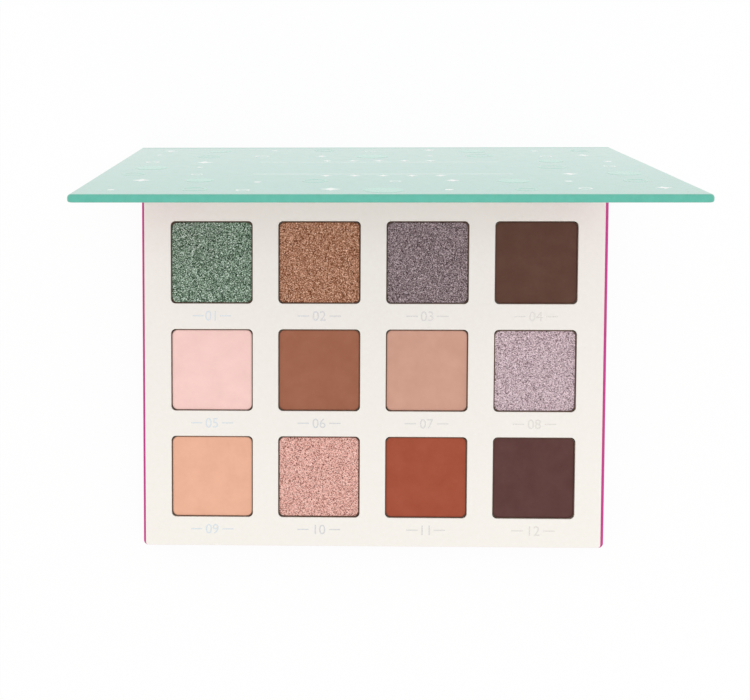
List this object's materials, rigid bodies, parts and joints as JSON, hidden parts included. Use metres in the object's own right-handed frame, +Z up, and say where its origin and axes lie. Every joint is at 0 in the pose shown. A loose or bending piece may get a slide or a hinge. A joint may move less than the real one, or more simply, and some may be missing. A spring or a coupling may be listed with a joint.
{
  "type": "eyeshadow palette",
  "caption": "Book-style paperboard eyeshadow palette: a folding lid with a mirror and magnets, and a tray of square pans of pressed powder in nude, brown and shimmer shades.",
  "frame": {"origin": "on the table under the middle of the tray, on the underside of the bottom cover", "axes": "+X to the user's right along the long side, +Y to the rear where the spine is, +Z up"},
  "size_m": [0.1413, 0.1216, 0.1101],
  "materials": {
    "mint_laminate": "satin",
    "pink_paper": "satin",
    "greyboard": "matte",
    "cream_card": "matte",
    "tinplate": "satin",
    "glue_pad": "matte",
    "nickel_magnet": "satin",
    "mirror_glass": "polished",
    "mirror_tape": "matte",
    "shade_01": "satin",
    "shade_02": "satin",
    "shade_03": "satin",
    "shade_04": "matte",
    "shade_05": "matte",
    "shade_06": "matte",
    "shade_07": "matte",
    "shade_08": "satin",
    "shade_09": "matte",
    "shade_10": "satin",
    "shade_11": "matte",
    "shade_12": "matte"
  },
  "bodies": {
    "base": {"bottom_board": "greyboard", "bottom_wrap": "pink_paper", "bottom_lining": "pink_paper", "rear_crease_wrap": "mint_laminate", "rear_crease_lining": "pink_paper", "tray_floor": "greyboard", "tray_spacer": "greyboard", "lower_pan_carrier": "greyboard", "upper_pan_carrier": "greyboard", "tray_magnets": "nickel_magnet", "tray_band": "pink_paper", "face_card": "cream_card", "pan_glue_pads": "glue_pad", "pan_01": "tinplate", "powder_01": "shade_01", "pan_02": "tinplate", "powder_02": "shade_02", "pan_03": "tinplate", "powder_03": "shade_03", "pan_04": "tinplate", "powder_04": "shade_04", "pan_05": "tinplate", "powder_05": "shade_05", "pan_06": "tinplate", "powder_06": "shade_06", "pan_07": "tinplate", "powder_07": "shade_07", "pan_08": "tinplate", "powder_08": "shade_08", "pan_09": "tinplate", "powder_09": "shade_09", "pan_10": "tinplate", "powder_10": "shade_10", "pan_11": "tinplate", "powder_11": "shade_11", "pan_12": "tinplate", "powder_12": "shade_12"},
    "spine": {"spine_board": "greyboard", "spine_wrap": "mint_laminate", "spine_lining": "pink_paper", "lid_crease_wrap": "mint_laminate", "lid_crease_lining": "pink_paper"},
    "lid": {"lid_board": "greyboard", "lid_wrap": "mint_laminate", "mirror_frame": "greyboard", "lid_lining": "pink_paper", "mirror_tape": "mirror_tape", "mirror": "mirror_glass", "lid_magnets": "nickel_magnet"}
  },
  "joints": [
    {"name": "spine_fold", "type": "hinge", "parent": "base", "child": "spine", "pos_m": [0.0004, 0.0541, 0.0009], "axis": [-1, 0, 0], "range_deg": [-78.3, 11.7], "deforming": ["rear_crease_wrap", "rear_crease_lining"]},
    {"name": "lid_fold", "type": "hinge", "parent": "spine", "child": "lid", "pos_m": [0.0004, 0.06575, 0.00331], "axis": [-1, 0, 0], "range_deg": [0, 90], "deforming": ["lid_crease_wrap", "lid_crease_lining"]}
  ]
}
